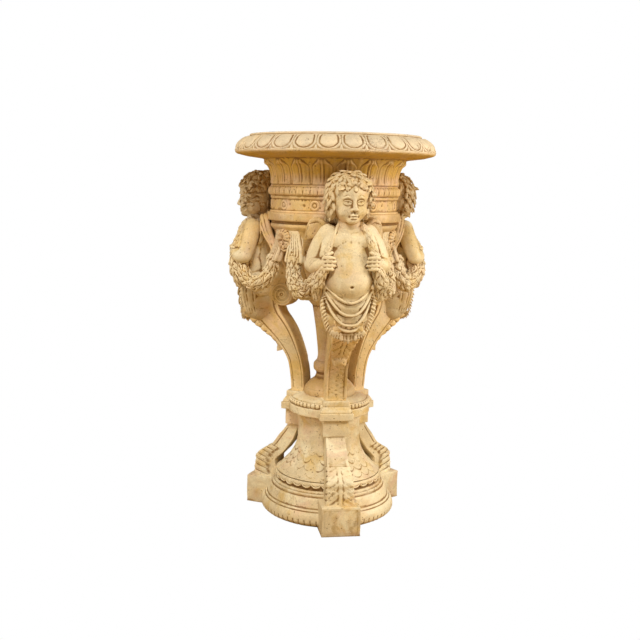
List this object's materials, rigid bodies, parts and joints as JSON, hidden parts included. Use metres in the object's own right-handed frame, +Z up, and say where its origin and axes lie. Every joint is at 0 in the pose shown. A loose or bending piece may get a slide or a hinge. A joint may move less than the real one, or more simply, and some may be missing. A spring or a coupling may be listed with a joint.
{
  "type": "figural garden planter",
  "caption": "Carved stone planter: flared hollow basin on an urn carried by winged child figures with garlands on scroll legs, over a bell base with scroll brackets and foot blocks",
  "frame": {"origin": "centre of the flat underside of the base, on the vertical axis of the planter", "axes": "+Z up, the front figure faces -Y, +X to the viewer's right when facing that figure"},
  "size_m": [0.7331, 0.7223, 1.3],
  "materials": {
    "basin_stone": "honed, weathered",
    "figure_stone": "honed, weathered",
    "base_stone": "honed, weathered"
  },
  "bodies": {
    "root": {"upper_basin": "basin_stone", "figure_stand": "figure_stone", "base": "base_stone"}
  },
  "joints": []
}
